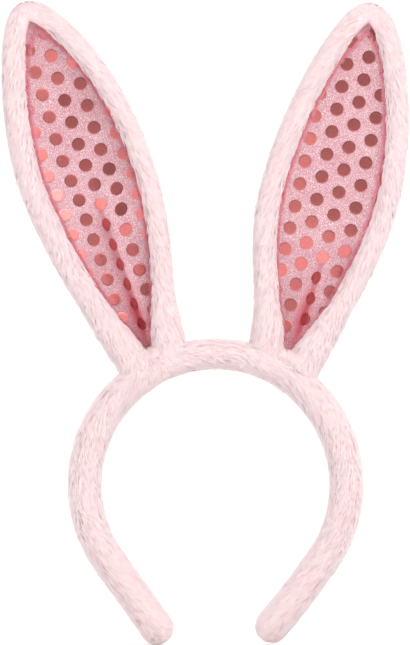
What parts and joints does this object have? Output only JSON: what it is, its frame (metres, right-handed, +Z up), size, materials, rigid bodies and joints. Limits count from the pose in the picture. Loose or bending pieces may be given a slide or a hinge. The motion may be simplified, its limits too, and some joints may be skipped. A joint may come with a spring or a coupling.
{
  "type": "animal ears headband",
  "caption": "Plush headband with tall wired rabbit ears: a sprung padded hoop that opens at the temples, and ears that tilt at the base and fold halfway up.",
  "frame": {"origin": "middle of the sleeve's inner face at the top of the crown, where the band rests on a head", "axes": "+Z up, from the head to the ears; -Y the front, which the linings face; +X to the right of someone who looks at the front"},
  "size_m": [0.2094, 0.0236, 0.3355],
  "materials": {
    "plush": "short silky pile",
    "lining": "glittery knit with foil dots",
    "filling": "matte",
    "hoop_plastic": "matte",
    "wire": "drawn",
    "tape": "woven",
    "thread": "spun"
  },
  "bodies": {
    "crown": {"crown_hoop": "hoop_plastic", "crown_padding": "filling", "crown_sleeve": "plush"},
    "left_shoulder": {"left_shoulder_hoop": "hoop_plastic", "left_shoulder_padding": "filling", "left_shoulder_sleeve": "plush", "left_ear_gather": "plush", "left_gather_thread": "thread", "left_anchor_tape": "tape", "left_ear_outer_wire_tail": "wire", "left_ear_inner_wire_tail": "wire"},
    "left_arm": {"left_arm_hoop": "hoop_plastic", "left_arm_padding": "filling", "left_arm_sleeve": "plush"},
    "left_ear": {"left_ear_outer_rim": "plush", "left_ear_outer_wire": "wire", "left_ear_inner_rim": "plush", "left_ear_inner_wire": "wire", "left_ear_lining": "lining", "left_ear_wadding": "filling", "left_ear_back": "plush"},
    "left_ear_top": {"left_ear_top_rim": "plush", "left_ear_top_wire": "wire", "left_ear_top_lining": "lining", "left_ear_top_wadding": "filling", "left_ear_top_back": "plush"},
    "right_shoulder": {"right_shoulder_hoop": "hoop_plastic", "right_shoulder_padding": "filling", "right_shoulder_sleeve": "plush", "right_ear_gather": "plush", "right_gather_thread": "thread", "right_anchor_tape": "tape", "right_ear_outer_wire_tail": "wire", "right_ear_inner_wire_tail": "wire"},
    "right_arm": {"right_arm_hoop": "hoop_plastic", "right_arm_padding": "filling", "right_arm_sleeve": "plush"},
    "right_ear": {"right_ear_outer_rim": "plush", "right_ear_outer_wire": "wire", "right_ear_inner_rim": "plush", "right_ear_inner_wire": "wire", "right_ear_lining": "lining", "right_ear_wadding": "filling", "right_ear_back": "plush"},
    "right_ear_top": {"right_ear_top_rim": "plush", "right_ear_top_wire": "wire", "right_ear_top_lining": "lining", "right_ear_top_wadding": "filling", "right_ear_top_back": "plush"}
  },
  "joints": [
    {"name": "left_shoulder_flex", "type": "hinge", "parent": "crown", "child": "left_shoulder", "pos_m": [-0.01183, 0, 0.00765], "axis": [0, 1, 0], "range_deg": [-3, 8], "stiffness_Nm_per_rad": 1.2},
    {"name": "left_arm_flex", "type": "hinge", "parent": "left_shoulder", "child": "left_arm", "pos_m": [-0.05366, 0, -0.01749], "axis": [0, 1, 0], "range_deg": [-3, 8], "stiffness_Nm_per_rad": 1.2},
    {"name": "left_ear_tilt", "type": "hinge", "parent": "left_shoulder", "child": "left_ear", "pos_m": [-0.03909, 0, 0.01899], "axis": [0.9426, 0, 0.3338], "range_deg": [-35, 50]},
    {"name": "left_ear_fold", "type": "hinge", "parent": "left_ear", "child": "left_ear_top", "pos_m": [-0.06813, 0, 0.101], "axis": [0.9426, 0, 0.3338], "range_deg": [-15, 70]},
    {"name": "right_shoulder_flex", "type": "hinge", "parent": "crown", "child": "right_shoulder", "pos_m": [0.01183, 0, 0.00765], "axis": [0, -1, 0], "range_deg": [-3, 8], "stiffness_Nm_per_rad": 1.2},
    {"name": "right_arm_flex", "type": "hinge", "parent": "right_shoulder", "child": "right_arm", "pos_m": [0.05366, 0, -0.01749], "axis": [0, -1, 0], "range_deg": [-3, 8], "stiffness_Nm_per_rad": 1.2},
    {"name": "right_ear_tilt", "type": "hinge", "parent": "right_shoulder", "child": "right_ear", "pos_m": [0.03811, 0, 0.01928], "axis": [0.9694, 0, -0.2453], "range_deg": [-35, 50]},
    {"name": "right_ear_fold", "type": "hinge", "parent": "right_ear", "child": "right_ear_top", "pos_m": [0.05946, 0, 0.10363], "axis": [0.9694, 0, -0.2453], "range_deg": [-15, 70]}
  ],
  "couplings": [
    {"joint": "left_arm_flex", "follows": "left_shoulder_flex", "ratio": 1},
    {"joint": "right_arm_flex", "follows": "right_shoulder_flex", "ratio": 1}
  ]
}
